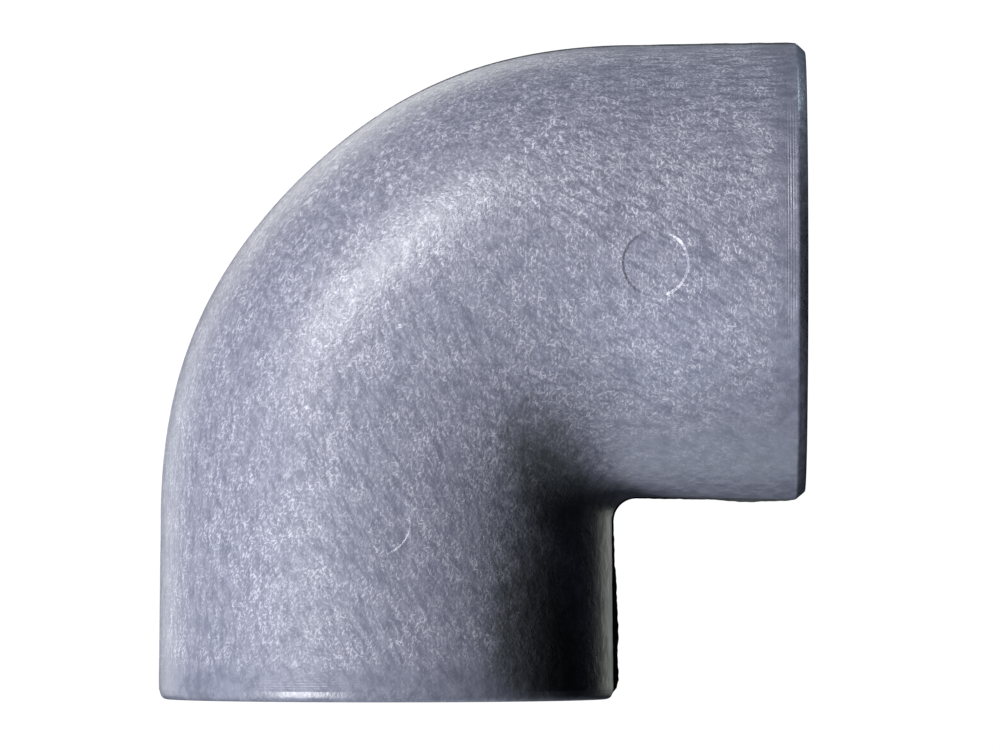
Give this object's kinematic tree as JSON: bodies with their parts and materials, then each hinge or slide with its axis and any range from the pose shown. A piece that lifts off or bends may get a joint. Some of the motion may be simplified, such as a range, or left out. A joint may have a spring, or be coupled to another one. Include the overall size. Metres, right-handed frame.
{
  "type": "push to connect elbow fitting",
  "caption": "Compact moulded 90 degree push to connect elbow for rigid tube, with a flush release collar, grab ring and O-ring seals in both ports.",
  "frame": {"origin": "centre of the bounding box's underside, in the plane of the base port's rim", "axes": "+X out of the side port, -Z out of the base port, +Y across both ports' axes, so that XZ is the elbow's mirror plane"},
  "size_m": [0.0388, 0.0272, 0.0392],
  "materials": {
    "body": "glass-filled moulding, light fibres just under a low gloss skin",
    "cap": "fine moulded",
    "collar": "smooth acetal",
    "rubber": "lightly greased",
    "spacer": "natural acetal",
    "steel": "bright spring steel",
    "brass": "turned"
  },
  "bodies": {
    "housing": {"elbow_body": "body", "side_inner_seal": "rubber", "side_seal_spacer": "spacer", "side_outer_seal": "rubber", "side_seal_protector": "spacer", "side_grip_seat": "brass", "side_retaining_cap": "cap", "side_cap_circlip": "steel", "base_inner_seal": "rubber", "base_seal_spacer": "spacer", "base_outer_seal": "rubber", "base_seal_protector": "spacer", "base_grip_seat": "brass", "base_retaining_cap": "cap", "base_cap_circlip": "steel"},
    "side_grip": {"side_grab_ring": "steel"},
    "side_collar": {"side_release_collar": "collar", "side_dust_wiper": "rubber"},
    "base_grip": {"base_grab_ring": "steel"},
    "base_collar": {"base_release_collar": "collar", "base_dust_wiper": "rubber"}
  },
  "joints": [
    {"name": "side_swivel", "type": "hinge", "parent": "housing", "child": "side_grip", "pos_m": [0.01936, 0, 0.0256], "axis": [1, 0, 0], "continuous": true},
    {"name": "side_release", "type": "slide", "parent": "side_grip", "child": "side_collar", "axis": [-1, 0, 0], "range_m": [0, 0.0016], "stiffness_N_per_m": 1500, "deforming": ["side_grab_ring"]},
    {"name": "base_swivel", "type": "hinge", "parent": "housing", "child": "base_grip", "pos_m": [-0.00574, 0, 0], "axis": [0, 0, -1], "continuous": true},
    {"name": "base_release", "type": "slide", "parent": "base_grip", "child": "base_collar", "axis": [0, 0, 1], "range_m": [0, 0.0016], "stiffness_N_per_m": 1500, "deforming": ["base_grab_ring"]}
  ]
}
